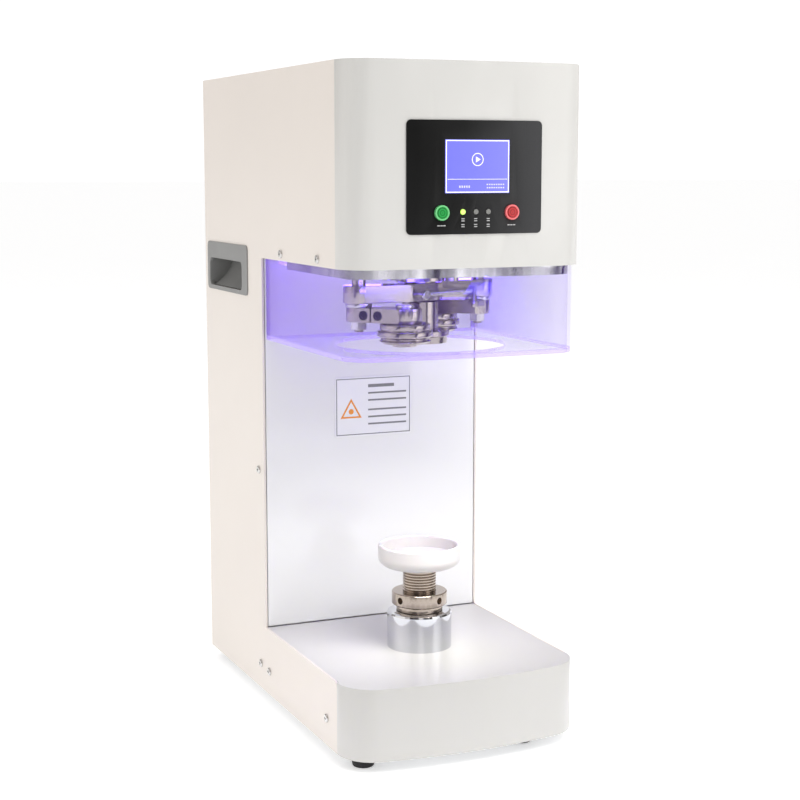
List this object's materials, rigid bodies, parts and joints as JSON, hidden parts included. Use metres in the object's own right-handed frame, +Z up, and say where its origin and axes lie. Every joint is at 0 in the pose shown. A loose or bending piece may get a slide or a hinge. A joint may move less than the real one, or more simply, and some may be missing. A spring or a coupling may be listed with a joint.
{
  "type": "cup sealing machine",
  "caption": "Desktop can and cup seaming machine with a tall housing, clear guard, circling seaming rollers, lifting tray and a small control panel.",
  "frame": {"origin": "on the table under the middle of the outer size", "axes": "+Z up, the control panel faces -Y, +X to the right seen from the front"},
  "size_m": [0.2236, 0.3994, 0.5885],
  "materials": {
    "painted_shell": "smooth semi-gloss powder coat",
    "gloss_panel": "high gloss white",
    "machined_aluminium": "machined and polished",
    "machined_steel": "turned and ground",
    "polished_stainless": "turned and polished",
    "chrome": "polished chrome",
    "zinc_fixings": "bright zinc",
    "bronze": "turned bronze",
    "clear_guard": "clear polished sheet",
    "light_strip": "lit violet diffuser",
    "black_panel": "gloss black overlay",
    "screen": "lit violet-blue display",
    "green_button": "gloss",
    "red_button": "gloss",
    "lamp": "clear domed",
    "grip_plastic": "fine textured",
    "tray_plastic": "satin",
    "foot_rubber": "matt",
    "belt_rubber": "toothed belt",
    "label_print": "printed sticker",
    "circuit_board": "solder mask",
    "motor_black": "satin black",
    "galvanised": "galvanised sheet",
    "inlet_plastic": "moulded",
    "rocker_plastic": "moulded"
  },
  "bodies": {
    "housing": {"left_side_panel": "painted_shell", "right_side_panel": "painted_shell", "head_front_cover": "painted_shell", "base_front_cover": "painted_shell", "top_cover": "painted_shell", "rear_cover": "painted_shell", "column_front_panel": "gloss_panel", "base_plate": "galvanised", "column_frames": "galvanised", "head_plate": "machined_aluminium", "guard_wall": "clear_guard", "guard_floor": "clear_guard", "led_strip": "light_strip", "left_side_grip": "grip_plastic", "right_side_grip": "grip_plastic", "housing_screws": "zinc_fixings", "rubber_feet": "foot_rubber", "control_panel": "black_panel", "display": "screen", "indicator_lamps": "lamp", "warning_plate": "label_print", "control_board": "circuit_board", "power_supply": "galvanised", "power_inlet": "inlet_plastic", "seamer_motor": "motor_black", "bearing_housing": "machined_aluminium", "spindle_bearings": "machined_steel", "chuck_shaft": "machined_steel", "seaming_chuck": "machined_steel", "shaft_bridge": "machined_aluminium", "drive_belts": "belt_rubber", "lift_sleeve": "chrome", "guide_bush": "bronze", "lift_frame": "galvanised", "lift_gearmotor": "motor_black"},
    "start_button": {"start_button": "green_button"},
    "stop_button": {"stop_button": "red_button"},
    "power_rocker": {"power_rocker": "rocker_plastic"},
    "motor_pulley": {"motor_pulley": "machined_aluminium"},
    "cam": {"cam_sleeve": "machined_steel"},
    "spindle": {"spindle_tube": "machined_steel", "spindle_pulley": "machined_aluminium", "roller_carrier": "machined_aluminium", "spring_screws": "zinc_fixings", "return_springs": "machined_steel"},
    "lift": {"lift_rod": "polished_stainless"},
    "lift_screw": {"lift_screw": "machined_steel"},
    "lock_ring": {"lock_ring": "polished_stainless"},
    "tray": {"threaded_post": "polished_stainless", "can_tray": "tray_plastic"},
    "arm_1": {"roller_arm_1": "machined_aluminium", "crank_pin_1": "machined_steel", "arm_fixings_1": "zinc_fixings"},
    "follower_1": {"cam_follower_1": "machined_steel"},
    "roller_1": {"seaming_roller_1": "machined_steel"},
    "arm_2": {"roller_arm_2": "machined_aluminium", "crank_pin_2": "machined_steel", "arm_fixings_2": "zinc_fixings"},
    "follower_2": {"cam_follower_2": "machined_steel"},
    "roller_2": {"seaming_roller_2": "machined_steel"}
  },
  "joints": [
    {"name": "start_press", "type": "slide", "parent": "housing", "child": "start_button", "axis": [0, 1, 0], "range_m": [0, 0.0012], "stiffness_N_per_m": 400, "springref_m": -0.0006},
    {"name": "stop_press", "type": "slide", "parent": "housing", "child": "stop_button", "axis": [0, 1, 0], "range_m": [0, 0.0012], "stiffness_N_per_m": 400, "springref_m": -0.0006},
    {"name": "power_switch", "type": "hinge", "parent": "housing", "child": "power_rocker", "pos_m": [0, 0.195, 0.0735], "axis": [1, 0, 0], "range_deg": [-14, 0]},
    {"name": "spindle_turn", "type": "hinge", "parent": "housing", "child": "spindle", "pos_m": [0, -0.0855, 0.395], "axis": [0, 0, 1], "continuous": true},
    {"name": "cam_turn", "type": "hinge", "parent": "housing", "child": "cam", "pos_m": [0, -0.0855, 0.406], "axis": [0, 0, 1], "continuous": true},
    {"name": "motor_turn", "type": "hinge", "parent": "housing", "child": "motor_pulley", "pos_m": [0, 0.012, 0.5], "axis": [0, 0, 1], "continuous": true},
    {"name": "lift_travel", "type": "slide", "parent": "housing", "child": "lift", "axis": [0, 0, 1], "range_m": [0, 0.035]},
    {"name": "lift_screw_turn", "type": "hinge", "parent": "housing", "child": "lift_screw", "pos_m": [0, -0.0855, 0.03], "axis": [0, 0, 1], "range_deg": [-1580, 0]},
    {"name": "lock_ring_turn", "type": "hinge", "parent": "lift", "child": "lock_ring", "pos_m": [0, -0.0855, 0.118], "axis": [0, 0, 1], "continuous": true},
    {"name": "tray_height", "type": "slide", "parent": "lift", "child": "tray", "axis": [0, 0, 1], "range_m": [0, 0.012]},
    {"name": "arm_1_swing", "type": "hinge", "parent": "spindle", "child": "arm_1", "pos_m": [-0.06541, -0.10278, 0.38], "axis": [0, 0, 1], "range_deg": [0, 8.5], "stiffness_Nm_per_rad": 0.6, "springref_deg": -8.59, "deforming": ["return_springs"]},
    {"name": "roller_1_spin", "type": "hinge", "parent": "arm_1", "child": "roller_1", "pos_m": [-0.03474, -0.13144, 0.362], "axis": [0, 0, 1], "continuous": true},
    {"name": "follower_1_spin", "type": "hinge", "parent": "arm_1", "child": "follower_1", "pos_m": [-0.02451, -0.07135, 0.406], "axis": [0, 0, 1], "continuous": true},
    {"name": "arm_2_swing", "type": "hinge", "parent": "spindle", "child": "arm_2", "pos_m": [0.06541, -0.06822, 0.38], "axis": [0, 0, 1], "range_deg": [0, 8.5], "stiffness_Nm_per_rad": 0.6, "springref_deg": -8.59},
    {"name": "roller_2_spin", "type": "hinge", "parent": "arm_2", "child": "roller_2", "pos_m": [0.03474, -0.03956, 0.362], "axis": [0, 0, 1], "continuous": true},
    {"name": "follower_2_spin", "type": "hinge", "parent": "arm_2", "child": "follower_2", "pos_m": [0.02451, -0.09965, 0.406], "axis": [0, 0, 1], "continuous": true}
  ],
  "couplings": [
    {"joint": "cam_turn", "follows": "spindle_turn", "ratio": 1.0345},
    {"joint": "motor_turn", "follows": "spindle_turn", "ratio": 3},
    {"joint": "lift_screw_turn", "follows": "lift_travel", "rad_per_m": -785.4}
  ]
}
